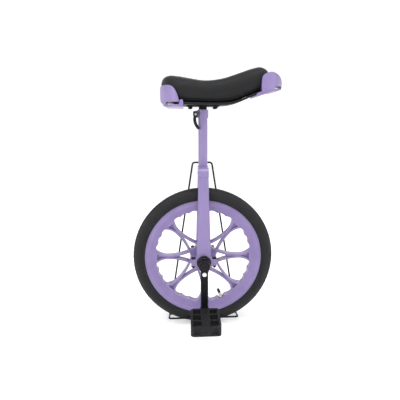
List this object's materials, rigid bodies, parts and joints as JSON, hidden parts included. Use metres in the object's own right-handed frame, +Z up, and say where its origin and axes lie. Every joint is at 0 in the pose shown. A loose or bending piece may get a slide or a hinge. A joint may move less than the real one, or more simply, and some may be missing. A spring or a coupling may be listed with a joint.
{
  "type": "unicycle",
  "caption": "Child's unicycle with moulded spoked wheel, curved saddle with grips, quick-release post, pedals and a wire parking stand.",
  "frame": {"origin": "on the floor, straight below the hub and midway between the fork legs", "axes": "+X forward, towards the saddle's raised front grip; +Y the rider's left, along the axle; +Z up"},
  "size_m": [0.4164, 0.374, 0.7305],
  "materials": {
    "frame_paint": "gloss lavender stove enamel over steel",
    "wheel_plastic": "satin lavender moulded plastic",
    "bumper_plastic": "satin lavender moulded plastic",
    "tyre_rubber": "black tyre rubber",
    "tube_rubber": "black butyl rubber",
    "bright_steel": "ground and plated steel",
    "black_steel": "black powder coat",
    "zinc_steel": "zinc-plated fasteners",
    "valve_metal": "nickel-plated brass",
    "black_plastic": "black moulded plastic",
    "saddle_cover": "black grained vinyl over foam",
    "marker_white": "plain white dot"
  },
  "bodies": {
    "frame": {"frame_tube": "frame_paint", "fork_crown": "frame_paint", "fork_leg_right": "frame_paint", "fork_leg_left": "frame_paint", "bearing_seat_right": "frame_paint", "bearing_seat_left": "frame_paint", "bearing_cap_right": "frame_paint", "bearing_cap_left": "frame_paint", "cap_bolts": "black_steel", "cap_nuts": "black_steel", "bearing_outer_right": "bright_steel", "bearing_outer_left": "bright_steel", "seat_clamp": "frame_paint", "clamp_skewer": "zinc_steel", "clamp_nut": "black_steel"},
    "wheel": {"wheel_moulding": "wheel_plastic", "tyre": "tyre_rubber", "inner_tube": "tube_rubber", "valve_stem": "valve_metal", "valve_nut": "valve_metal", "valve_cap": "black_plastic", "axle": "bright_steel", "bearing_inner_right": "bright_steel", "bearing_inner_left": "bright_steel", "bearing_balls_right": "bright_steel", "bearing_balls_left": "bright_steel", "crank_right": "black_steel", "crank_left": "black_steel", "crank_screws": "zinc_steel", "crank_dust_caps": "black_plastic", "crank_markers": "marker_white", "pedal_spindle_right": "zinc_steel", "pedal_spindle_left": "zinc_steel", "spindle_nuts": "zinc_steel"},
    "pedal_right": {"pedal_body_right": "black_plastic", "pedal_bushes_right": "black_plastic", "pedal_end_cap_right": "black_plastic"},
    "pedal_left": {"pedal_body_left": "black_plastic", "pedal_bushes_left": "black_plastic", "pedal_end_cap_left": "black_plastic"},
    "saddle": {"seat_post": "black_steel", "saddle_plate": "black_steel", "plate_bolts": "zinc_steel", "plate_nuts": "zinc_steel", "saddle_base": "black_plastic", "saddle_pad": "saddle_cover", "front_bumper": "bumper_plastic", "rear_bumper": "bumper_plastic"},
    "lever": {"clamp_lever": "black_plastic", "lever_pin": "zinc_steel"},
    "stand": {"stand_arch": "black_steel", "stand_base": "black_steel", "stand_cradle": "black_steel"}
  },
  "joints": [
    {"name": "wheel_spin", "type": "hinge", "parent": "frame", "child": "wheel", "pos_m": [0, 0, 0.2], "axis": [0, 1, 0], "continuous": true},
    {"name": "pedal_right_spin", "type": "hinge", "parent": "wheel", "child": "pedal_right", "pos_m": [0, -0.141, 0.075], "axis": [0, 1, 0], "continuous": true},
    {"name": "pedal_left_spin", "type": "hinge", "parent": "wheel", "child": "pedal_left", "pos_m": [0, 0.141, 0.325], "axis": [0, 1, 0], "continuous": true},
    {"name": "saddle_height", "type": "slide", "parent": "frame", "child": "saddle", "axis": [0, 0, 1], "range_m": [0, 0.1]},
    {"name": "lever_open", "type": "hinge", "parent": "frame", "child": "lever", "pos_m": [-0.02, -0.0143, 0.605], "axis": [-1, 0, 0], "range_deg": [0, 100]},
    {"name": "lift_off_stand", "type": "slide", "parent": "frame", "child": "stand", "axis": [0, 0, -1], "range_m": [0, 0.15]}
  ]
}
